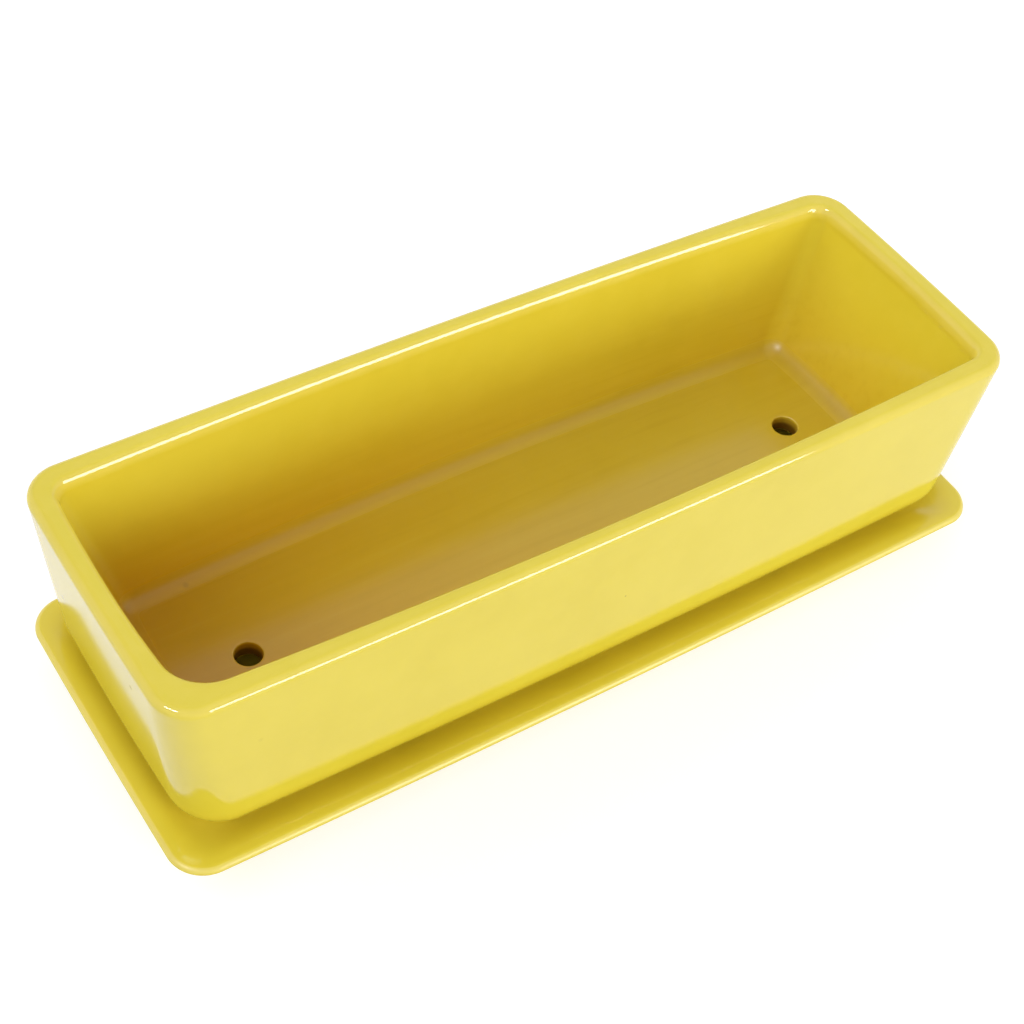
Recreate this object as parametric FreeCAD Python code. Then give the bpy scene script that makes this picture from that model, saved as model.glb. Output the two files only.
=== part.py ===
import FreeCAD, Part
import math
import os
from collections import namedtuple

from FreeCAD import Vector

# Indoor herb planter: a glazed ceramic trough with drain holes, standing loose in its drip saucer.
# Frame: X along the length, Y across, Z up. The origin is on the table, under the saucer's centre.
# All lengths are in millimetres. A half size is measured from the piece's own centre.

# Pot, outside
pot_height = 78.8
pot_half_length = 175.3
pot_half_width = 57.4
pot_corner_radius = 14.5
pot_end_bow = 0.5
pot_side_bow = 1.4
pot_end_draft = 8.0
pot_side_draft = 0.8
pot_base_corner_radius = 19.0
pot_heel_radius = 15.2

# Pot, walls and hollow
wall_at_rim = 10.2
hollow_corner_radius = 5.5
hollow_front_left_radius = 15.0
hollow_end_bow = 1.4
hollow_side_bow = 3.7
hollow_end_draft = 15.0
hollow_side_draft = 7.0
hollow_floor_corner_radius = 8.0
hollow_cove_radius = 6.5
rim_outer_rounding = 3.0
rim_inner_rounding = 3.2
rim_inner_depth = 6.6
floor_thickness = 7.5

# Pot, foot and drainage
foot_height = 6.0
foot_land_width = 8.0
foot_recess_draft = 1.5
foot_recess_rounding = 2.5
foot_recess_corner_radius = 6.0
drain_hole_radius = 5.2
drain_hole_left_setback = 56.8
drain_hole_right_setback = 49.8
drain_notch_width = 14.0
drain_notch_height = 2.4
drain_notch_reach = 82.0

# Saucer
saucer_corner_radius = 13.7
saucer_end_bow = 0.3
saucer_side_bow = 1.1
saucer_seat_height = 8.6
saucer_lip_rise = 4.4
saucer_lip_radius = 2.2
saucer_lip_land = 1.4
saucer_flange_width = 15.0
saucer_seat_corner_radius = 7.0
saucer_flare_reach = 14.0
saucer_heel_rounding = 3.0
saucer_base_corner_radius = 8.0
saucer_foot_height = 2.0
saucer_foot_width = 6.0
saucer_foot_corner_radius = 5.0

# Where the pot stands on the saucer's seat, from its centre, and the least room left round the pot's foot
pot_shift_along = 0.7
pot_shift_back = 2.7
seat_clearance_along = 4.5
seat_clearance_across = 1.9

# Strips that make up each quarter round and the saucer's flange
rounding_steps = 5
flange_steps = 8

# How far cutters run past the faces that they open
overrun = 5.0

# A four-sided outline with rounded corners, whose sides bow outwards between them.
# The half sizes are those of the straight-sided box that the bows stand out from.
# The front left corner has a radius of its own: the hollow is rounder there than at its other corners.
Outline = namedtuple("Outline", "half_length half_width corner_radius front_left_radius end_bow side_bow")


def side_radius(half_run, corner_radius, bow):
    """Radius of the arc that bows out over half_run each way and meets both corner arcs smoothly."""
    return (half_run ** 2 + bow * (2 * corner_radius + bow)) / (2 * bow)


def quarter_arcs(outline, height, x, y):
    """One quarter of the outline: arcs from the middle of an end, round its corner, to the middle of a side."""
    radius = outline.front_left_radius if (x, y) == (-1, -1) else outline.corner_radius
    corner = Vector(outline.half_length - radius, outline.half_width - radius, 0)
    end_bend = side_radius(corner.y, radius, outline.end_bow)
    side_bend = side_radius(corner.x, radius, outline.side_bow)
    end_centre = Vector(outline.half_length + outline.end_bow - end_bend, 0, 0)
    side_centre = Vector(0, outline.half_width + outline.side_bow - side_bend, 0)

    square_on = (Vector(1, 0, 0), Vector(0, 1, 0))
    towards_end = (corner - end_centre).normalize()
    towards_side = (corner - side_centre).normalize()
    arcs = []
    for centre, bend, first, last in ((end_centre, end_bend, square_on[0], towards_end),
                                      (corner, radius, towards_end, towards_side),
                                      (side_centre, side_bend, towards_side, square_on[1])):
        points = [centre + way.normalize() * bend for way in (first, first + last, last)]
        arcs.append(Part.Arc(*[Vector(point.x * x, point.y * y, height) for point in points]).toShape())
    return arcs


def outline_wire(outline, height):
    """The outline at a height, as a closed wire of arcs, each tangent to the next."""
    arcs = []
    for x, y in ((1, 1), (-1, 1), (-1, -1), (1, -1)):
        quarter = quarter_arcs(outline, height, x, y)
        arcs += quarter if x == y else reversed(quarter)
    return Part.Wire(arcs)


def level_corners(outline, radius, front_left_radius=None):
    """The outline with other corner radii: the same one all round unless the front left has its own."""
    return outline._replace(corner_radius=radius, front_left_radius=front_left_radius or radius)


def inset(outline, distance, corner_radius=None):
    """The outline drawn in by a distance all round, with parallel corners unless given a radius."""
    drawn_in = outline._replace(half_length=outline.half_length - distance,
                                half_width=outline.half_width - distance)
    if corner_radius is None:
        return level_corners(drawn_in, outline.corner_radius - distance, outline.front_left_radius - distance)
    return level_corners(drawn_in, corner_radius)


def between(lower, upper, share):
    """The outline at a share of the way from the lower one to the upper one."""
    return Outline(*(low + (high - low) * share for low, high in zip(lower, upper)))


def skin(levels):
    """The faces that join each level, an outline and its height, to the next with straight walls."""
    wires = [outline_wire(outline, height) for outline, height in levels]
    return Part.makeLoft(wires, False, True).Faces


def flat_face(outer, height, inner=None):
    """The flat face inside an outline at a height, or between it and an inner one."""
    wires = [outline_wire(outline, height) for outline in (outer, inner) if outline]
    return Part.makeFace(wires, "Part::FaceMakerBullseye")


def quarter_round():
    """Shares of a radius, inwards and up, round a quarter circle that starts flat and ends upright."""
    angles = [math.pi / 2 * step / rounding_steps for step in range(rounding_steps + 1)]
    return [(1 - math.sin(angle), 1 - math.cos(angle)) for angle in angles]


def cup_skin(bottom, bottom_height, top, top_height, bottom_radius):
    """Walls that rise out of a rounded edge round a flat bottom, and the rounded edge itself."""
    height = top_height - bottom_height

    def wall(rise):
        return between(bottom, top, rise / height)

    edge = [(inset(wall(up * bottom_radius), inwards * bottom_radius), bottom_height + up * bottom_radius)
            for inwards, up in quarter_round()]
    return skin(edge + [(top, top_height)])


def rim_skin(throat, throat_height, reach, rise, side):
    """A rounding from an upright wall to a level top, a quarter circle if its reach and rise are the same.

    The side is 1 to turn in and -1 to turn out.
    """
    levels = [(inset(throat, side * reach * up), throat_height + rise * (1 - inwards))
              for inwards, up in reversed(quarter_round())]
    return skin(levels)


def solid_from(faces):
    """The closed solid that the faces bound."""
    shell = Part.makeShell(faces)
    shell.sewShape()
    solid = Part.makeSolid(shell)
    if solid.Volume < 0:
        solid.reverse()
    return solid


def pot_outlines():
    """Outside of the pot at its base, before the heel is rounded, and at its rim."""
    rim = Outline(pot_half_length, pot_half_width, pot_corner_radius, pot_corner_radius,
                  pot_end_bow, pot_side_bow)
    base = rim._replace(half_length=pot_half_length - pot_end_draft,
                        half_width=pot_half_width - pot_side_draft)
    base = level_corners(base, pot_base_corner_radius)
    return base, rim


def pot_foot():
    """The outline that the pot stands on, inside its rounded heel."""
    base, rim = pot_outlines()
    return inset(base, pot_heel_radius)


def hollow_outlines():
    """The hollow at its floor, before the cove is rounded, and at its throat, just under the rim."""
    throat = Outline(pot_half_length - wall_at_rim, pot_half_width - wall_at_rim,
                     hollow_corner_radius, hollow_front_left_radius, hollow_end_bow, hollow_side_bow)
    floor = throat._replace(half_length=throat.half_length - hollow_end_draft,
                            half_width=throat.half_width - hollow_side_draft)
    floor = level_corners(floor, hollow_floor_corner_radius)
    return floor, throat


def drain_holes(base_height):
    """The round holes through the floor, each set back from its own end of the rim."""
    start = base_height + foot_height - overrun
    length = floor_thickness + 2 * overrun
    left = drain_hole_left_setback - pot_half_length
    right = pot_half_length - drain_hole_right_setback
    return [Part.makeCylinder(drain_hole_radius, length, Vector(place, 0, start))
            for place in (left, right)]


def drain_notches(base_height):
    """Shallow arched notches across the foot ring, which let the water out into the saucer."""
    half_chord = drain_notch_width / 2
    radius = (half_chord ** 2 + drain_notch_height ** 2) / (2 * drain_notch_height)
    centre_height = base_height + drain_notch_height - radius
    across = pot_half_width + overrun
    return [Part.makeCylinder(radius, 2 * across, Vector(place, -across, centre_height), Vector(0, 1, 0))
            for place in (-drain_notch_reach, drain_notch_reach)]


def planter_pot():
    """The pot: drafted walls, rounded heel, coved hollow, rounded rim, foot ring and drain holes."""
    base_height = saucer_seat_height
    rim_height = base_height + pot_height
    base, rim = pot_outlines()
    shoulder_height = rim_height - rim_outer_rounding
    faces = cup_skin(base, base_height, rim, shoulder_height, pot_heel_radius)
    faces += rim_skin(rim, shoulder_height, rim_outer_rounding, rim_outer_rounding, 1)

    floor, throat = hollow_outlines()
    floor_height = base_height + foot_height + floor_thickness
    throat_height = rim_height - rim_inner_depth
    faces += cup_skin(floor, floor_height, throat, throat_height, hollow_cove_radius)
    faces += rim_skin(throat, throat_height, rim_inner_rounding, rim_inner_depth, -1)
    faces.append(flat_face(inset(rim, rim_outer_rounding), rim_height, inset(throat, -rim_inner_rounding)))
    faces.append(flat_face(inset(floor, hollow_cove_radius), floor_height))

    land = pot_foot()
    recess_mouth = inset(land, foot_land_width, foot_recess_corner_radius)
    recess_top = inset(recess_mouth, foot_recess_draft)
    ceiling_height = base_height + foot_height
    spring_height = ceiling_height - foot_recess_rounding
    faces.append(flat_face(land, base_height, recess_mouth))
    faces += skin([(recess_mouth, base_height), (recess_top, spring_height)])
    faces += rim_skin(recess_top, spring_height, foot_recess_rounding, foot_recess_rounding, 1)
    faces.append(flat_face(inset(recess_top, foot_recess_rounding), ceiling_height))

    pot = solid_from(faces)
    for cutter in drain_holes(base_height) + drain_notches(base_height):
        pot = pot.cut(cutter)
    pot.translate(Vector(pot_shift_along, pot_shift_back, 0))
    return pot


def saucer_seat():
    """The saucer's flat seat: the pot's foot, where it stands off centre, and the room left round it."""
    foot = pot_foot()
    return Outline(foot.half_length + abs(pot_shift_along) + seat_clearance_along,
                   foot.half_width + abs(pot_shift_back) + seat_clearance_across,
                   saucer_seat_corner_radius, saucer_seat_corner_radius, saucer_end_bow, saucer_side_bow)


def drip_saucer():
    """The saucer: flared underside on a low foot ring, rounded lip, gently rising flange, flat seat."""
    lip_height = saucer_seat_height + saucer_lip_rise
    edge_height = lip_height - saucer_lip_radius
    seat = saucer_seat()
    dish_top = inset(seat, -saucer_flange_width, saucer_corner_radius - saucer_lip_radius - saucer_lip_land)
    crest = inset(dish_top, -saucer_lip_land)
    lip = inset(crest, -saucer_lip_radius)
    base = inset(lip, saucer_flare_reach, saucer_base_corner_radius)
    faces = cup_skin(base, 0, lip, edge_height, saucer_heel_rounding)
    faces += rim_skin(lip, edge_height, saucer_lip_radius, saucer_lip_radius, 1)

    flange = []
    for step in range(flange_steps + 1):
        out = step / flange_steps
        rise = (1 - math.cos(math.pi * out)) / 2
        flange.append((between(seat, dish_top, out), saucer_seat_height + rise * saucer_lip_rise))
    faces += skin(flange)
    faces.append(flat_face(crest, lip_height, dish_top))
    faces.append(flat_face(seat, saucer_seat_height))

    ring = inset(base, saucer_heel_rounding)
    ring_inside = inset(ring, saucer_foot_width, saucer_foot_corner_radius)
    faces.append(flat_face(ring, 0, ring_inside))
    faces += skin([(ring_inside, 0), (ring_inside, saucer_foot_height)])
    faces.append(flat_face(ring_inside, saucer_foot_height))
    return solid_from(faces)


def main():
    os.makedirs("parts", exist_ok=True)
    for name, make_piece in (("planter_pot", planter_pot), ("drip_saucer", drip_saucer)):
        piece = make_piece()
        piece.exportStep(f"parts/{name}.step")
        print(name, len(piece.Solids), "solid,", "valid" if piece.isValid() else "broken",
              round(piece.Volume), "mm3")


main()
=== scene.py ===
import math
from collections import namedtuple

import bmesh
import bpy
from mathutils import Matrix, Vector


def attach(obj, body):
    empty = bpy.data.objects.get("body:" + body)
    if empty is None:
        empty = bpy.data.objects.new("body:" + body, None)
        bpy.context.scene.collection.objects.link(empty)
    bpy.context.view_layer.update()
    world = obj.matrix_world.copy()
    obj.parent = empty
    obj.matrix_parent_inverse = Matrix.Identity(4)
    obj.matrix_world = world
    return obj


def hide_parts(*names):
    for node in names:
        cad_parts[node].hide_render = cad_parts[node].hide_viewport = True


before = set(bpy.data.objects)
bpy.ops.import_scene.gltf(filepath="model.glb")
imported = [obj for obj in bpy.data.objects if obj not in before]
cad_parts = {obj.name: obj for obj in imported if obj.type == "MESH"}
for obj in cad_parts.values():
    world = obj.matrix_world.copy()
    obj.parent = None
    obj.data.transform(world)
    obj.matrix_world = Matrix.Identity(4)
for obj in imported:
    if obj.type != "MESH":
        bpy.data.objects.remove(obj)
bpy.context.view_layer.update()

# A glazed ceramic trough for herbs, standing loose in its drip saucer.
# Metres. X runs along the trough, Y across it and Z up, from the table under the saucer's centre.
mm = 0.001

# Pot, outside
pot_height = 78.8 * mm
pot_half_length = 175.3 * mm
pot_half_width = 57.4 * mm
pot_corner_radius = 14.5 * mm
pot_end_bow = 0.5 * mm
pot_side_bow = 1.4 * mm
pot_end_draft = 8.0 * mm
pot_side_draft = 0.8 * mm
pot_base_corner_radius = 19.0 * mm
pot_heel_radius = 15.2 * mm

# Pot, walls and hollow
wall_at_rim = 10.2 * mm
hollow_corner_radius = 5.5 * mm
hollow_front_left_radius = 15.0 * mm
hollow_end_bow = 1.4 * mm
hollow_side_bow = 3.7 * mm
hollow_end_draft = 15.0 * mm
hollow_side_draft = 7.0 * mm
hollow_floor_corner_radius = 8.0 * mm
hollow_cove_radius = 6.5 * mm
rim_outer_rounding = 3.0 * mm
rim_inner_rounding = 3.2 * mm
rim_inner_depth = 6.6 * mm
floor_thickness = 7.5 * mm

# Pot, foot and drainage
foot_height = 6.0 * mm
foot_land_width = 8.0 * mm
foot_edge_rounding = 0.8 * mm
foot_recess_draft = 1.5 * mm
foot_recess_rounding = 2.5 * mm
foot_recess_corner_radius = 6.0 * mm
drain_hole_radius = 5.2 * mm
drain_hole_left = 118.5 * mm
drain_hole_right = 125.5 * mm
drain_hole_rounding = 0.6 * mm
drain_notch_width = 14.0 * mm
drain_notch_height = 2.4 * mm
drain_notch_reach = 82.0 * mm

# Saucer
saucer_half_length = 175.9 * mm
saucer_half_width = 64.6 * mm
saucer_corner_radius = 13.7 * mm
saucer_end_bow = 0.3 * mm
saucer_side_bow = 1.1 * mm
saucer_seat_height = 8.6 * mm
saucer_lip_rise = 4.4 * mm
saucer_lip_radius = 2.2 * mm
saucer_lip_land = 1.4 * mm
saucer_flange_width = 15.0 * mm
saucer_seat_corner_radius = 7.0 * mm
saucer_flare_reach = 14.0 * mm
saucer_heel_rounding = 3.0 * mm
saucer_base_corner_radius = 8.0 * mm
saucer_foot_height = 2.0 * mm
saucer_foot_width = 6.0 * mm
saucer_foot_edge_rounding = 0.6 * mm
saucer_foot_corner_radius = 5.0 * mm

# Where the pot stands, from the saucer's centre
pot_shift_along = 0.7 * mm
pot_shift_back = 2.7 * mm

# Glaze: the heights over which shade is painted low inside, it thins at the feet and it ends its satin under
# the rim
low_shade_rise = 55.0 * mm
foot_zone = (15.0 * mm, 30.0 * mm)
satin_end = (74.0 * mm, 82.0 * mm)
# Along the trough, where the painted shade is greatest and where it has faded
shade_fade_along = (-170.0 * mm, 100.0 * mm)
# How much shade is painted into the cove, and how far the rim's level top is paled as a painted sheen
cove_shade_strength = 0.10
rim_top_sheen = 0.45
glaze_ior = 1.52
relief_depth = 0.6 * mm

# Colours of the glaze and of the bare clay
yellow_plain = (0.73, 0.59, 0.04, 1)
yellow_drift = (0.76, 0.62, 0.048, 1)
yellow_mottle = (0.80, 0.65, 0.06, 1)
# Painted shade, amber low inside the hollow
low_shade_amber = (0.70, 0.38, 0.006, 1)
dark_streak = (0.58, 0.38, 0.01, 1)
pale_streak = (0.82, 0.66, 0.06, 1)
# Thin glaze on sharp edges; on the rim's level top it is a painted sheen
thin_glaze_and_sheen = (0.86, 0.69, 0.18, 1)
thin_foot = (0.90, 0.80, 0.45, 1)
speck_brown = (0.16, 0.075, 0.02, 1)
flaw_brown = (0.22, 0.12, 0.02, 1)
# Painted shade down the drain holes and in the cove
hole_shade_dark = (0.05, 0.025, 0.004, 1)
cove_shade_amber = (0.30, 0.12, 0.004, 1)
clay_dark = (0.62, 0.47, 0.31, 1)
clay_pale = (0.78, 0.66, 0.50, 1)

# How finely the clay is turned into faces. The shares are of the way from one outline to the next.
end_columns = 10
corner_columns = 14
side_columns = 60
middle_columns = 20
rounding_rows = 12
wall_rows = 8
wall_guard = 0.02
hole_wall_rows = 8
rim_top_rows = 4
foot_land_rows = 6
flange_rows = 20
recess_middle = 0.6
floor_to_hole = (0, 0.02, 0.2, 0.4, 0.6, 0.75, 0.86, 0.93, 0.97)
hole_to_ceiling = (0.93, 0.8, 0.6, 0.4, 0.2, 0.02, 0)
edge_to_middle = (1, 0.97, 0.8, 0.6, 0.4, 0.2, 0)
weld_distance = 0.004 * mm
sliver_length = 0.001 * mm
# A bow of nothing would ask for a circle without end
least_bow = 1e-7

# Soft light from the room: the sine of its height, its bearing from X in degrees and its strength
room_lights = ((0.3, 0, 1.65), (0.3, 72, 0.85), (0.3, 216, 0.80), (0.3, 288, 0.30),
               (0.6, 72, 1.50), (0.6, 144, 2.00), (0.6, 216, 2.15), (0.6, 288, 0.35))
room_light_spread = 0.3
# The room's light from overhead grows from this height up
overhead_from = 0.6
overhead_strength = 0.12

# The table: half its side in metres, how pale it is and how much it glows to the rays that see it
table_half_side = 6.0
table_shade = 0.62
table_glow = 0.56

# Lamps, in metres. Those for glints show only in the gloss and give no diffuse light.
Lamp = namedtuple("Lamp", "name place length width radiance glint_only")
lamps = (
    Lamp("front", (0.66, -1.80, 0.47), 1.10, 0.66, 7.0, False),
    Lamp("front glint", (0.66, -1.78, 0.47), 1.10, 0.66, 5.5, True),
    Lamp("left glint", (-1.44, -0.38, 1.39), 0.80, 0.26, 26.0, True),
)
lamp_aim = (0.0, 0.0, 0.05)

# An outline seen from above, and a row of the profile that is carried round it. A row has its share of
# the way from the lower outline to the upper one, how far it is drawn in from there and its height, how
# sharp an edge it is (on the rim's level top, how much painted sheen), how bare of glaze, how far it draws
# in to a hole of which radius, whether it is inside the pot, and how much painted shade it takes.
Outline = namedtuple("Outline", "half_length half_width corner_radius front_left_radius end_bow side_bow")
Row = namedtuple("Row", "share inset height edge bare hole_share hole_radius inner deep",
                 defaults=(0, 0, 0, 0, 0, 0))

# Small flaws of the casting and the glaze: where each is, its radius, its darkness and its height
flaws = (
    ((-173.1 * mm, -25.4 * mm, 72.3 * mm), 1.3 * mm, 0.45, -0.05),
    ((-170.9 * mm, 33.4 * mm, 51.2 * mm), 1.0 * mm, 0.45, -0.05),
    ((-143.7 * mm, -55.6 * mm, 60.2 * mm), 1.8 * mm, 0.12, 0.06),
    ((-123.3 * mm, 40.4 * mm, 22.2 * mm), 1.6 * mm, 0.25, 0.12),
    ((144.3 * mm, 46.7 * mm, 29.0 * mm), 1.8 * mm, 0.08, 0.10),
)

outline_words = {
    "half_length": "half length",
    "half_width": "half width",
    "corner_radius": "corner radius",
    "front_left_radius": "front left radius",
    "end_bow": "end bow",
    "side_bow": "side bow",
}


class Term:
    """A socket of a node tree that can stand in an expression, like a number."""

    def __init__(self, plan, socket):
        self.plan = plan
        self.socket = socket

    def __add__(self, other):
        return self.plan.maths("ADD", self, other)

    def __radd__(self, other):
        return self.plan.maths("ADD", other, self)

    def __sub__(self, other):
        return self.plan.maths("SUBTRACT", self, other)

    def __rsub__(self, other):
        return self.plan.maths("SUBTRACT", other, self)

    def __mul__(self, other):
        return self.plan.maths("MULTIPLY", self, other)

    def __truediv__(self, other):
        return self.plan.maths("DIVIDE", self, other)


class Plan:
    """A node tree, filled in by expressions and by add()."""

    def __init__(self, tree):
        self.tree = tree

    def add(self, kind, settings=None, values=None):
        """Adds one node, with its settings and the values or links of its sockets. Returns its outputs."""
        node = self.tree.nodes.new(kind)
        for name, setting in (settings or {}).items():
            setattr(node, name, setting)
        for key, value in (values or {}).items():
            if isinstance(value, Term):
                self.tree.links.new(value.socket, node.inputs[key])
            else:
                node.inputs[key].default_value = value
        return [Term(self, socket) for socket in node.outputs]

    def add_named(self, kind):
        """Adds one node and returns its outputs by name."""
        return {output.socket.name: output for output in self.add(kind)}

    def maths(self, operation, *terms):
        return self.add("ShaderNodeMath", {"operation": operation}, dict(enumerate(terms)))[0]

    def sin(self, term):
        return self.maths("SINE", term)

    def cos(self, term):
        return self.maths("COSINE", term)

    def clamp(self, term):
        return self.add("ShaderNodeClamp", None, {"Value": term})[0]

    def mix(self, share, low, high):
        return low + (high - low) * share

    def smooth(self, term, low, high):
        """0 below low and 1 above high, with a soft step between them."""
        return self.add("ShaderNodeMapRange", {"interpolation_type": "SMOOTHSTEP"},
                        {"Value": term, "From Min": low, "From Max": high})[0]

    def mix_colour(self, share, low, high):
        return self.add("ShaderNodeMix", {"data_type": "RGBA"}, {0: share, 6: low, 7: high})[2]


def carried_profile():
    """A tree that carries a profile, given as rows, round a bowed outline with rounded corners.

    With Half at 1 it goes round one half of the outline and back along the middle, and the rows
    with a hole share draw in to a round hole there. Half is added to a count or an index before
    it is cut down to a whole number.
    """
    tree = bpy.data.node_groups.new("Carried profile", "GeometryNodeTree")
    plan = Plan(tree)
    sizes = [f"{level} {word}" for level in ("Lower", "Upper") for word in outline_words.values()]
    sizes += ["End columns", "Corner columns", "Side columns", "Middle columns", "Half", "Mirror",
              "Hole place", "Shift along", "Shift back",
              "Notch place", "Notch width", "Notch height", "Notch base"]
    tree.interface.new_socket("Rows", in_out="INPUT", socket_type="NodeSocketGeometry")
    for size in sizes:
        tree.interface.new_socket(size, in_out="INPUT", socket_type="NodeSocketFloat")
    tree.interface.new_socket("Finish", in_out="INPUT", socket_type="NodeSocketMaterial")
    tree.interface.new_socket("Clay", in_out="OUTPUT", socket_type="NodeSocketGeometry")
    given = plan.add("NodeGroupInput")
    rows_given, finish = given[0], given[len(sizes) + 1]
    size = dict(zip(sizes, given[1:]))

    end, corner = size["End columns"], size["Corner columns"]
    quarter = end + corner + size["Side columns"]
    half = size["Half"]
    middle = size["Middle columns"]
    columns = plan.mix(half, quarter * 4, quarter * 2 + middle) + 1
    rows = plan.add("GeometryNodeAttributeDomainSize", {"component": "MESH"}, {"Geometry": rows_given})[0]
    grid = plan.add("GeometryNodeMeshGrid", None, {"Vertices X": columns + 0.5, "Vertices Y": rows})[0]

    index = plan.add("GeometryNodeInputIndex")[0]
    column = plan.maths("FLOOR", (index + 0.5) / rows)
    row = index - column * rows + 0.5

    def of_row(name):
        field = plan.add("GeometryNodeInputNamedAttribute", {"data_type": "FLOAT"}, {"Name": name})[0]
        return plan.add("GeometryNodeSampleIndex", {"data_type": "FLOAT", "domain": "POINT"},
                        {"Geometry": rows_given, "Value": field, "Index": row})[0]

    # The column's place in the first quarter of the ring, from the middle of the end to that of the side
    ring_column = plan.mix(half, column, quarter * 3 + plan.maths("MINIMUM", column, quarter * 2))
    ring_column = plan.maths("FLOORED_MODULO", ring_column, quarter * 4)
    turn = plan.maths("FLOOR", (ring_column + 0.5) / quarter)
    step = ring_column - turn * quarter
    step = plan.mix(plan.maths("FLOORED_MODULO", turn, 2.0), step, quarter - step)
    side_x = plan.maths("SIGN", plan.cos((turn + 0.5) * (math.pi / 2)))
    side_y = plan.maths("SIGN", plan.sin((turn + 0.5) * (math.pi / 2)))
    along_end = plan.clamp(step / end)
    round_corner = plan.clamp((step - end) / corner)
    along_side = plan.clamp((step - end - corner) / size["Side columns"])

    # The outline at this row's share of the way from the lower one to the upper one, drawn in by its inset
    share = of_row("share")
    inset = of_row("inset")
    now = {field: plan.mix(share, size["Lower " + word], size["Upper " + word])
           for field, word in outline_words.items()}
    front_left_turn = 2.0
    front_left = plan.maths("COMPARE", turn, front_left_turn, 0.1)
    corner_radius = plan.mix(front_left, now["corner_radius"], now["front_left_radius"])
    run_x = now["half_length"] - corner_radius
    run_y = now["half_width"] - corner_radius
    radius = corner_radius - inset
    end_bow = plan.maths("MAXIMUM", now["end_bow"], least_bow)
    side_bow = plan.maths("MAXIMUM", now["side_bow"], least_bow)

    def bowed(run, bow):
        big = (run * run + bow * (radius * 2 + bow)) / (bow * 2)
        return big, plan.maths("ARCSINE", run / (big - radius))

    end_radius, end_angle = bowed(run_y, end_bow)
    side_radius, side_angle = bowed(run_x, side_bow)

    def sagitta(big, angle):
        half_sine = plan.sin(angle / 2)
        return big * 2 * half_sine * half_sine

    corner_angle = end_angle + (math.pi / 2 - side_angle - end_angle) * round_corner
    side_now = side_angle * (1 - along_side)
    end_x = run_x + radius + end_bow - sagitta(end_radius, end_angle * along_end)
    end_y = end_radius * plan.sin(end_angle * along_end)
    corner_x = radius * (plan.cos(corner_angle) - plan.cos(end_angle))
    corner_y = radius * (plan.sin(corner_angle) - plan.sin(end_angle))
    side_step_x = side_radius * (plan.sin(side_now) - plan.sin(side_angle))
    side_step_y = sagitta(side_radius, side_angle) - sagitta(side_radius, side_now)
    x = side_x * (end_x + corner_x + side_step_x)
    y = side_y * (end_y + corner_y + side_step_y)

    # Back along the middle of the floor, on a half ring
    back = plan.clamp((column - quarter * 2) / middle) * half
    y = y - (run_y + radius + side_bow) * 2 * back

    # In to the drain hole, on the rows that ask for it
    from_hole = x - size["Hole place"]
    reach = plan.maths("SQRT", from_hole * from_hole + y * y)
    hole_share = of_row("hole_share")
    hole_radius = of_row("hole_radius")
    x = plan.mix(hole_share, x, size["Hole place"] + hole_radius * from_hole / reach)
    y = plan.mix(hole_share, y, hole_radius * y / reach)

    # Shallow arched notches under the foot
    notch_half = size["Notch width"] / 2
    notch_height = size["Notch height"]
    arch_radius = (notch_half * notch_half + notch_height * notch_height) / (notch_height * 2)
    off_notch = plan.maths("ABSOLUTE", x) - size["Notch place"]
    arch = plan.maths("SQRT", plan.maths("MAXIMUM", arch_radius * arch_radius - off_notch * off_notch, 0.0))
    arch = size["Notch base"] + notch_height - arch_radius + arch
    z = plan.maths("MAXIMUM", of_row("height"), arch)

    place = plan.add("ShaderNodeCombineXYZ", None,
                     {"X": x * size["Mirror"] + size["Shift along"], "Y": y + size["Shift back"], "Z": z})[0]
    clay = plan.add("GeometryNodeSetPosition", None, {"Geometry": grid, "Position": place})[0]
    for name in ("edge", "bare", "inner", "deep"):
        clay = plan.add("GeometryNodeStoreNamedAttribute", {"data_type": "FLOAT", "domain": "POINT"},
                        {"Geometry": clay, "Name": name, "Value": of_row(name)})[0]
    clay = plan.add("GeometryNodeSetShadeSmooth", None, {"Geometry": clay})[0]
    clay = plan.add("GeometryNodeRealizeInstances", None, {"Geometry": clay})[0]
    clay = plan.add("GeometryNodeSetMaterial", None, {"Geometry": clay, "Material": finish})[0]
    plan.add("NodeGroupOutput", None, {0: clay})
    return tree


def carry(tree, rows, lower, upper, finish, **others):
    """The mesh of one skin: its rows carried between a lower and an upper outline."""
    mesh = bpy.data.meshes.new("rows")
    mesh.from_pydata([(0, 0, row.height) for row in rows], [], [])
    for name in Row._fields:
        layer = mesh.attributes.new(name, "FLOAT", "POINT")
        layer.data.foreach_set("value", [getattr(row, name) for row in rows])
    piece = bpy.data.objects.new("rows", mesh)
    bpy.context.scene.collection.objects.link(piece)
    modifier = piece.modifiers.new("Carried profile", "NODES")
    modifier.node_group = tree

    values = {"End columns": end_columns, "Corner columns": corner_columns, "Side columns": side_columns,
              "Middle columns": middle_columns, "Mirror": 1, "Notch base": -1, "Finish": finish}
    for level, outline in (("Lower", lower), ("Upper", upper)):
        for field, word in outline_words.items():
            values[f"{level} {word}"] = getattr(outline, field)
    values.update({name.replace("_", " ").capitalize(): value for name, value in others.items()})
    for socket in tree.interface.items_tree:
        if socket.in_out == "INPUT" and socket.name in values:
            value = values[socket.name]
            modifier[socket.identifier] = value if socket.name == "Finish" else float(value)

    evaluated = piece.evaluated_get(bpy.context.evaluated_depsgraph_get())
    skin = bpy.data.meshes.new_from_object(evaluated)
    piece.modifiers.clear()
    bpy.data.objects.remove(piece)
    return skin


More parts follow.
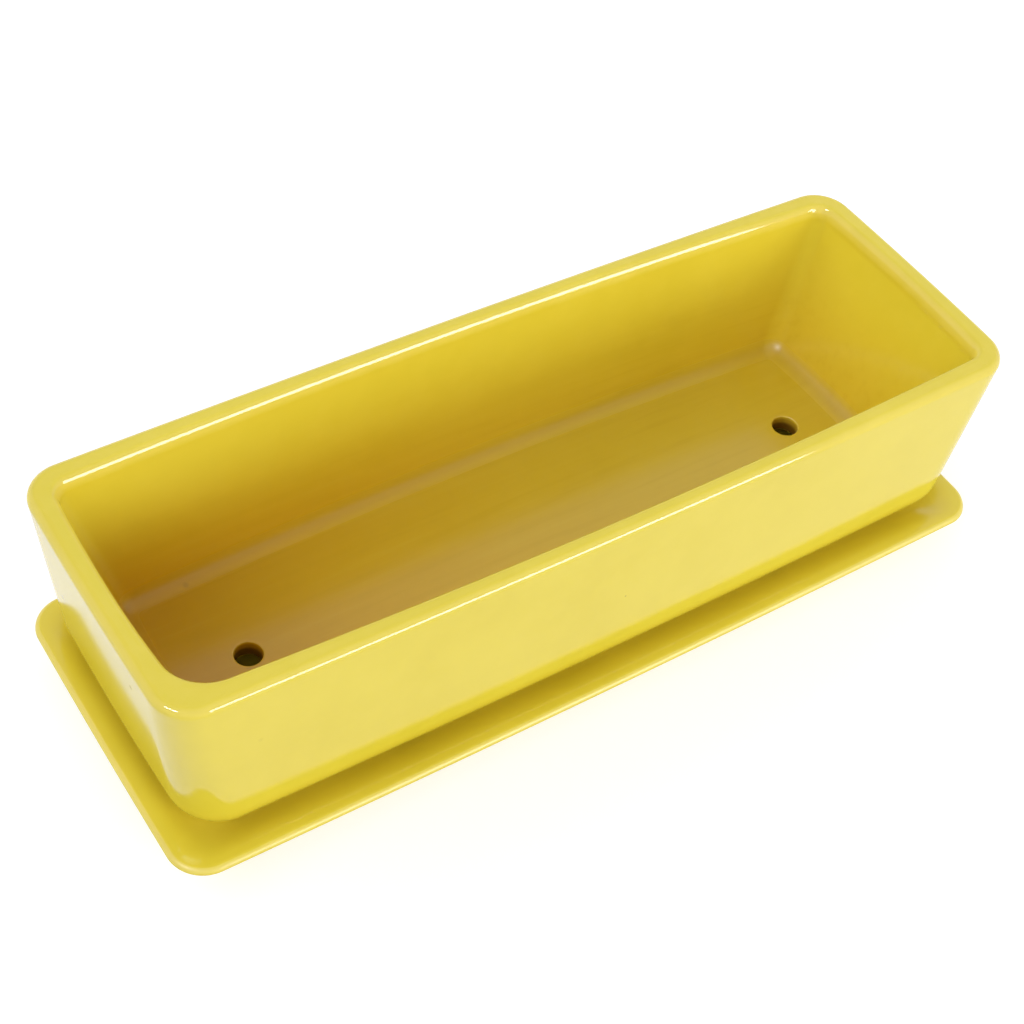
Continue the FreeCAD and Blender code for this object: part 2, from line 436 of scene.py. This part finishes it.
def joined(name, skins, finish):
    """One closed piece made of its skins, with the seams welded and the faces turned outwards."""
    shape = bmesh.new()
    for skin in skins:
        shape.from_mesh(skin)
    bmesh.ops.remove_doubles(shape, verts=shape.verts, dist=weld_distance)
    bmesh.ops.dissolve_degenerate(shape, edges=shape.edges, dist=sliver_length)
    bmesh.ops.recalc_face_normals(shape, faces=shape.faces)
    open_edges = sum(1 for edge in shape.edges if not edge.is_manifold)
    if shape.calc_volume(signed=True) < 0:
        bmesh.ops.reverse_faces(shape, faces=shape.faces)
    mesh = bpy.data.meshes.new(name)
    shape.to_mesh(mesh)
    shape.free()
    for polygon in mesh.polygons:
        polygon.use_smooth = True
        polygon.material_index = 0
    mesh.materials.clear()
    mesh.materials.append(finish)
    piece = bpy.data.objects.new(name, mesh)
    bpy.context.scene.collection.objects.link(piece)
    print(name, len(mesh.polygons), "faces,", open_edges, "open edges")
    return piece


def level_corners(outline, radius, front_left_radius=None):
    """The outline with other corner radii: the same one all round unless the front left has its own."""
    return outline._replace(corner_radius=radius, front_left_radius=front_left_radius or radius)


def inset(outline, distance, corner_radius=None):
    """The outline drawn in by a distance all round, with parallel corners unless given a radius."""
    drawn_in = outline._replace(half_length=outline.half_length - distance,
                                half_width=outline.half_width - distance)
    if corner_radius is None:
        return level_corners(drawn_in, outline.corner_radius - distance,
                             outline.front_left_radius - distance)
    return level_corners(drawn_in, corner_radius)


def middle_line(outline):
    """The line down the middle that an outline shrinks to."""
    return Outline(outline.half_length - outline.half_width, 0, 0, 0, 0, 0)


def quarter_turn():
    """Angles of the rows round a quarter circle."""
    return [math.pi / 2 * step / rounding_rows for step in range(rounding_rows + 1)]


def even_shares(count):
    return [step / count for step in range(count + 1)]


def wall_shares():
    """Shares of a wall's height, with a row close to each end to hold the roundings beside it."""
    return [wall_guard] + even_shares(wall_rows)[1:-1] + [1 - wall_guard, 1]


def cup_rows(bottom, top, radius, cove_shade=0):
    """Rows of a wall that rises out of a rounded bottom edge, with shade painted into that edge when asked.
    """
    height = top - bottom
    rows = []
    for angle in quarter_turn():
        up = radius * (1 - math.cos(angle))
        rows.append(Row(up / height, radius * (1 - math.sin(angle)), bottom + up,
                        deep=cove_shade * math.sin(2 * angle)))
    for share in wall_shares():
        up = radius + (height - radius) * share
        rows.append(Row(up / height, 0, bottom + up))
    return rows


def rim_rows(throat, reach, rise, side, share=1, edge=1):
    """Rows of a rounding from an upright wall to the level rim: side is 1 to turn in, -1 to turn out."""
    rows = []
    for angle in quarter_turn():
        rows.append(Row(share, side * reach * (1 - math.cos(angle)), throat + rise * math.sin(angle),
                        edge=edge * math.sin(2 * angle)))
    return rows


def pot_outlines():
    rim = Outline(pot_half_length, pot_half_width, pot_corner_radius, pot_corner_radius,
                  pot_end_bow, pot_side_bow)
    base = rim._replace(half_length=pot_half_length - pot_end_draft,
                        half_width=pot_half_width - pot_side_draft)
    return level_corners(base, pot_base_corner_radius), rim


def hollow_outlines():
    throat = Outline(pot_half_length - wall_at_rim, pot_half_width - wall_at_rim,
                     hollow_corner_radius, hollow_front_left_radius, hollow_end_bow, hollow_side_bow)
    floor = throat._replace(half_length=throat.half_length - hollow_end_draft,
                            half_width=throat.half_width - hollow_side_draft)
    return level_corners(floor, hollow_floor_corner_radius), throat


def drained_floor_rows(top, bottom):
    """Rows across the floor to a drain hole, down through it, and out again underneath."""
    rows = []
    wide = drain_hole_radius + drain_hole_rounding
    for share in floor_to_hole:
        rows.append(Row(1, 0, top, hole_share=share, hole_radius=wide, inner=1))
    for angle in quarter_turn():
        radius = drain_hole_radius + drain_hole_rounding * (1 - math.sin(angle))
        down = drain_hole_rounding * (1 - math.cos(angle))
        rows.append(Row(1, 0, top - down, edge=math.sin(2 * angle), hole_share=1, hole_radius=radius,
                        inner=1))
    wall_top = top - drain_hole_rounding
    wall_bottom = bottom + drain_hole_rounding
    for share in even_shares(hole_wall_rows)[1:]:
        height = wall_top + (wall_bottom - wall_top) * share
        # Painted shade darkens further down the hole
        rows.append(Row(1 - share, 0, height, hole_share=1, hole_radius=drain_hole_radius,
                        inner=1, deep=share))
    for angle in quarter_turn()[1:]:
        radius = drain_hole_radius + drain_hole_rounding * (1 - math.cos(angle))
        rows.append(Row(0, 0, wall_bottom - drain_hole_rounding * math.sin(angle),
                        hole_share=1, hole_radius=radius))
    for share in hole_to_ceiling:
        rows.append(Row(0, 0, bottom, hole_share=share, hole_radius=wide))
    return rows


def glazed_pot(tree, finish):
    """The pot: rounded heel, drafted walls, rounded rim, coved hollow, drained floor and foot ring."""
    base_height = saucer_seat_height
    rim_height = base_height + pot_height
    place = {"shift_along": pot_shift_along, "shift_back": pot_shift_back}
    notch = {"notch_place": drain_notch_reach, "notch_width": drain_notch_width,
             "notch_height": drain_notch_height, "notch_base": base_height}
    base, rim = pot_outlines()
    floor, throat = hollow_outlines()

    shoulder = rim_height - rim_outer_rounding
    outside = cup_rows(base_height, shoulder, pot_heel_radius)
    outside += rim_rows(shoulder, rim_outer_rounding, rim_outer_rounding, 1)[1:]
    skins = [carry(tree, outside, base, rim, finish, **place, **notch)]

    # The rim's level top takes a painted sheen through its edge value
    rim_top = [Row(share, 0, rim_height, edge=rim_top_sheen) for share in even_shares(rim_top_rows)]
    skins.append(carry(tree, rim_top, inset(rim, rim_outer_rounding), inset(throat, -rim_inner_rounding),
                       finish, **place))

    floor_height = base_height + foot_height + floor_thickness
    throat_height = rim_height - rim_inner_depth
    # Shade is painted into the cove round the floor
    inside = cup_rows(floor_height, throat_height, hollow_cove_radius, cove_shade_strength)
    inside += rim_rows(throat_height, rim_inner_rounding, rim_inner_depth, -1)[1:]
    inside = [row._replace(inner=1) for row in inside]
    skins.append(carry(tree, inside, floor, throat, finish, **place))

    land = inset(base, pot_heel_radius)
    mouth = inset(land, foot_land_width, foot_recess_corner_radius)
    recess_top = inset(mouth, foot_recess_draft)
    ceiling = base_height + foot_height
    spring = ceiling - foot_recess_rounding
    foot = [Row(share, 0, base_height, bare=1) for share in even_shares(foot_land_rows)]
    skins.append(carry(tree, foot, land, inset(mouth, -foot_edge_rounding), finish, **place, **notch))
    recess = []
    for angle in quarter_turn():
        up = foot_edge_rounding * (1 - math.cos(angle))
        recess.append(Row(up / (spring - base_height), -foot_edge_rounding * (1 - math.sin(angle)),
                          base_height + up, bare=1 - math.sin(angle)))
    recess.append(Row(recess_middle, 0, base_height + (spring - base_height) * recess_middle))
    recess += rim_rows(spring, foot_recess_rounding, foot_recess_rounding, 1, edge=0)
    skins.append(carry(tree, recess, mouth, recess_top, finish, **place, **notch))

    drained = drained_floor_rows(floor_height, ceiling)
    floor_edge = inset(floor, hollow_cove_radius)
    ceiling_edge = inset(recess_top, foot_recess_rounding)
    for side, hole_place in ((-1, drain_hole_left), (1, drain_hole_right)):
        skins.append(carry(tree, drained, ceiling_edge, floor_edge, finish, half=1, mirror=side,
                           hole_place=hole_place, **place))
    return joined("glazed_pot", skins, finish)


def glazed_saucer(tree, finish):
    """The saucer: low foot ring, flared underside, rounded lip, gently rising flange and flat seat."""
    lip_height = saucer_seat_height + saucer_lip_rise
    edge_height = lip_height - saucer_lip_radius
    lip = Outline(saucer_half_length, saucer_half_width, saucer_corner_radius, saucer_corner_radius,
                  saucer_end_bow, saucer_side_bow)
    base = inset(lip, saucer_flare_reach, saucer_base_corner_radius)
    outside = cup_rows(0, edge_height, saucer_heel_rounding)
    outside += rim_rows(edge_height, saucer_lip_radius, saucer_lip_radius, 1)[1:]
    skins = [carry(tree, outside, base, lip, finish)]

    dish_top = inset(lip, saucer_lip_radius + saucer_lip_land)
    seat = inset(dish_top, saucer_flange_width, saucer_seat_corner_radius)
    flange = [Row(1, -saucer_lip_land, lip_height), Row(1, -saucer_lip_land / 2, lip_height)]
    for out in even_shares(flange_rows):
        rise = (1 + math.cos(math.pi * out)) / 2
        flange.append(Row(1 - out, 0, saucer_seat_height + rise * saucer_lip_rise))
    skins.append(carry(tree, flange, seat, dish_top, finish))
    level = [Row(share, 0, saucer_seat_height) for share in edge_to_middle]
    skins.append(carry(tree, level, middle_line(seat), seat, finish))

    ring = inset(base, saucer_heel_rounding)
    ring_inside = inset(ring, saucer_foot_width, saucer_foot_corner_radius)
    land = [Row(share, 0, 0, bare=1) for share in even_shares(foot_land_rows)]
    skins.append(carry(tree, land, ring, inset(ring_inside, -saucer_foot_edge_rounding), finish))
    recess = []
    for angle in quarter_turn():
        recess.append(Row(0, -saucer_foot_edge_rounding * (1 - math.sin(angle)),
                          saucer_foot_edge_rounding * (1 - math.cos(angle)), bare=1 - math.sin(angle)))
    recess += rim_rows(saucer_foot_height - saucer_foot_edge_rounding, saucer_foot_edge_rounding,
                       saucer_foot_edge_rounding, 1, share=0, edge=0)
    skins.append(carry(tree, recess, ring_inside, ring_inside, finish))
    ceiling = inset(ring_inside, saucer_foot_edge_rounding)
    under = [Row(share, 0, saucer_foot_height) for share in edge_to_middle]
    skins.append(carry(tree, under, middle_line(ceiling), ceiling, finish))
    return joined("glazed_saucer", skins, finish)


def yellow_glaze():
    """A glossy yellow glaze over buff clay.

    It is thin and paler on sharp edges, with a painted sheen on the rim's level top and painted shade low
    inside, in the cove and down the drain holes; it has a few specks and flaws, and leaves the feet dry.
    """
    material = bpy.data.materials.new("yellow_glaze")
    material.use_nodes = True
    material.node_tree.nodes.clear()
    plan = Plan(material.node_tree)
    where = plan.add_named("ShaderNodeTexCoord")["Object"]
    along, across, up = plan.add("ShaderNodeSeparateXYZ", None, {"Vector": where})[:3]

    def of_row(name):
        return plan.add("ShaderNodeAttribute", {"attribute_name": name})[2]

    def noise(scale, detail, roughness=0.5, place=where):
        return plan.add("ShaderNodeTexNoise", None,
                        {"Vector": place, "Scale": scale, "Detail": detail, "Roughness": roughness})[0]

    edge = of_row("edge")
    bare = of_row("bare")
    inner = of_row("inner")
    deep = of_row("deep")

    # An uneven yellow
    drift = noise(scale=16.0, detail=2.0)
    mottle = noise(scale=90.0, detail=4.0)
    uneven = mottle - 0.5
    colour = plan.mix_colour(plan.smooth(drift, 0.3, 0.7), yellow_plain, yellow_drift)
    colour = plan.mix_colour(plan.smooth(mottle, 0.35, 0.75) * 0.25, colour, yellow_mottle)

    # Painted shade: darker and more amber low down inside, most towards the left end
    floor_height = saucer_seat_height + foot_height + floor_thickness
    low = inner * (1 - plan.smooth(up, floor_height, floor_height + low_shade_rise))
    leftward = 1 - plan.smooth(along + across * 0.3, *shade_fade_along)
    colour = plan.mix_colour(low * (0.30 + leftward * 0.50), colour, low_shade_amber)

    # Fine streaks, drawn out along the trough
    drawn_out = plan.add("ShaderNodeVectorMath", {"operation": "MULTIPLY"},
                         {0: where, 1: (0.06, 1.0, 1.0)})[0]
    streak = noise(scale=230.0, detail=3.0, place=drawn_out)
    colour = plan.mix_colour(low * plan.smooth(streak, 0.50, 0.68) * 0.14, colour, dark_streak)
    colour = plan.mix_colour(low * (1 - plan.smooth(streak, 0.32, 0.47)) * 0.08, colour, pale_streak)

    # Thin on the edges, most at the feet; on the rim's level top this paleness is a painted sheen
    thin = plan.smooth(edge + uneven * 0.5, 0.25, 1.1)
    near_foot = 1 - plan.smooth(up, *foot_zone)
    colour = plan.mix_colour(thin * 0.35, colour, thin_glaze_and_sheen)
    colour = plan.mix_colour(thin * near_foot * 0.08, colour, thin_foot)

    # A speck in about one cell of sixteen
    cell = plan.add("ShaderNodeTexVoronoi", {"feature": "F1"}, {"Vector": where, "Scale": 46.0})
    chance = plan.add("ShaderNodeSeparateColor", None, {"Color": cell[1]})[0]
    speck = (1 - plan.smooth(cell[0], 0.012, 0.03)) * plan.smooth(chance, 0.93, 0.95)
    colour = plan.mix_colour(speck * 0.8, colour, speck_brown)

    relief = 0.0
    for place, radius, darkness, bump in flaws:
        away = plan.add("ShaderNodeVectorMath", {"operation": "DISTANCE"}, {0: where, 1: place})[1]
        flaw = 1 - plan.smooth(away + uneven * radius, radius * 0.4, radius)
        colour = plan.mix_colour(flaw * darkness, colour, flaw_brown)
        relief = relief + flaw * bump

    # Painted shade: dark down the drain holes, and a little darker in the cove round the floor
    colour = plan.mix_colour(plan.smooth(deep, 0.25, 0.6) * 0.9, colour, hole_shade_dark)
    colour = plan.mix_colour(plan.smooth(deep, 0.0, 0.2) * 0.5, colour, cove_shade_amber)

    # Bare clay on the feet
    grain = noise(scale=900.0, detail=6.0, roughness=0.7)
    dry = plan.smooth(bare + uneven * 0.3, 0.35, 0.5)
    colour = plan.mix_colour(dry, colour, plan.mix_colour(grain, clay_dark, clay_pale))

    wave = noise(scale=16.0, detail=1.0)
    peel = noise(scale=420.0, detail=2.0)
    height = wave * 0.20 + peel * 0.004 - speck * 0.02 + dry * grain * 0.08 + relief
    normal = plan.add("ShaderNodeBump", None,
                      {"Strength": 1.0, "Distance": relief_depth, "Height": height})[0]

    # A touch less gloss low down inside and on the outer wall than on the rim
    wall = (1 - inner) * (1 - plan.smooth(up, *satin_end))
    satin = low * 0.14 + plan.clamp(deep * 20) * 0.16 + wall * (0.05 + edge * 0.2 + near_foot * 0.08)
    rough = 0.03 + mottle * 0.03 + satin + dry * 0.7
    surface = plan.add("ShaderNodeBsdfPrincipled", None,
                       {"Base Color": colour, "Roughness": rough, "Normal": normal, "IOR": glaze_ior})[0]
    plan.add("ShaderNodeOutputMaterial", None, {"Surface": surface})
    return material


def seen_white(plan):
    """1 for the rays that show the background: straight from the camera, mirrored or let through."""
    rays = plan.add_named("ShaderNodeLightPath")
    seen = plan.maths("MAXIMUM", rays["Is Camera Ray"], rays["Is Glossy Ray"])
    return plan.maths("MAXIMUM", seen, rays["Is Transmission Ray"])


def white_floor():
    """A level white table that keeps the planter's shadow."""
    corners = [(x * table_half_side, y * table_half_side, 0)
               for x, y in ((-1, -1), (1, -1), (1, 1), (-1, 1))]
    mesh = bpy.data.meshes.new("floor")
    mesh.from_pydata(corners, [], [(0, 1, 2, 3)])
    floor = bpy.data.objects.new("floor", mesh)
    bpy.context.scene.collection.objects.link(floor)
    material = bpy.data.materials.new("floor_white")
    material.use_nodes = True
    material.node_tree.nodes.clear()
    plan = Plan(material.node_tree)
    matt = plan.add("ShaderNodeBsdfDiffuse", None, {"Color": (table_shade, table_shade, table_shade, 1)})[0]
    glow = plan.add("ShaderNodeEmission", None, {"Color": seen_white(plan) * table_glow, "Strength": 1.0})[0]
    both = plan.add("ShaderNodeAddShader", None, {0: matt, 1: glow})[0]
    plan.add("ShaderNodeOutputMaterial", None, {"Surface": both})
    mesh.materials.append(material)


def white_room():
    """Soft white light that is stronger from some sides, in a room that is seen as plain white."""
    world = bpy.data.worlds.new("room")
    world.use_nodes = True
    world.node_tree.nodes.clear()
    plan = Plan(world.node_tree)
    way = plan.add_named("ShaderNodeTexCoord")["Generated"]
    x, y, z = plan.add("ShaderNodeSeparateXYZ", None, {"Vector": way})[:3]
    above_zero = 0.0001
    level = plan.maths("SQRT", x * x + y * y + above_zero)
    around = plan.clamp((z - overhead_from) / room_light_spread) * overhead_strength
    for height, bearing, strength in room_lights:
        bearing = math.radians(bearing)
        facing = (x * math.cos(bearing) + y * math.sin(bearing)) / level * 0.5 + 0.5
        off_height = plan.maths("ABSOLUTE", z - height) / room_light_spread
        band = plan.maths("MAXIMUM", 1.0 - off_height, 0.0)
        around = around + facing * facing * facing * band * strength
    strength = plan.mix(seen_white(plan), around, 1.0)
    glow = plan.add("ShaderNodeBackground", None, {"Color": (1, 1, 1, 1), "Strength": strength})[0]
    plan.add("ShaderNodeOutputWorld", None, {"Surface": glow})
    bpy.context.scene.world = world


def soft_light(lamp):
    """A rectangular soft light, given by where it hangs, its size and how bright it looks."""
    area = bpy.data.lights.new(lamp.name, "AREA")
    area.shape = "RECTANGLE"
    area.size = lamp.length
    area.size_y = lamp.width
    area.energy = lamp.radiance * math.pi * lamp.length * lamp.width
    light = bpy.data.objects.new(lamp.name, area)
    light.visible_diffuse = not lamp.glint_only
    light.location = lamp.place
    light.rotation_euler = (Vector(lamp_aim) - Vector(lamp.place)).to_track_quat("-Z", "Y").to_euler()
    bpy.context.scene.collection.objects.link(light)


def photograph_camera():
    """The camera, where the photograph was taken from."""
    azimuth, elevation, roll = 0.693511, 0.835489, 0.157478
    aim = Vector((-0.0111998, 0.0002683, 0.04365))
    distance = 0.6865183
    focal_length_px = 1875.74
    picture_px = 1024
    forward = Vector((math.sin(azimuth) * math.cos(elevation), math.cos(azimuth) * math.cos(elevation),
                      -math.sin(elevation)))
    level = forward.cross(Vector((0, 0, 1))).normalized()
    above = level.cross(forward)
    right = level * math.cos(roll) + above * math.sin(roll)
    up = above * math.cos(roll) - level * math.sin(roll)
    lens = bpy.data.cameras.new("camera")
    lens.sensor_width = 36
    lens.lens = focal_length_px / picture_px * lens.sensor_width
    lens.clip_start = 0.01
    lens.clip_end = 50
    camera = bpy.data.objects.new("camera", lens)
    turn = Matrix((right, up, -forward)).transposed().to_4x4()
    camera.matrix_world = Matrix.Translation(aim - forward * distance) @ turn
    bpy.context.scene.collection.objects.link(camera)
    bpy.context.scene.camera = camera


def main():
    photograph_camera()
    glaze = yellow_glaze()
    tree = carried_profile()
    for piece, body, node in ((glazed_pot(tree, glaze), "pot", "planter_pot"),
                              (glazed_saucer(tree, glaze), "saucer", "drip_saucer")):
        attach(piece, body)
        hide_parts(node)
    white_floor()
    white_room()
    for lamp in lamps:
        soft_light(lamp)
    bpy.context.scene.view_settings.view_transform = "Standard"


main()
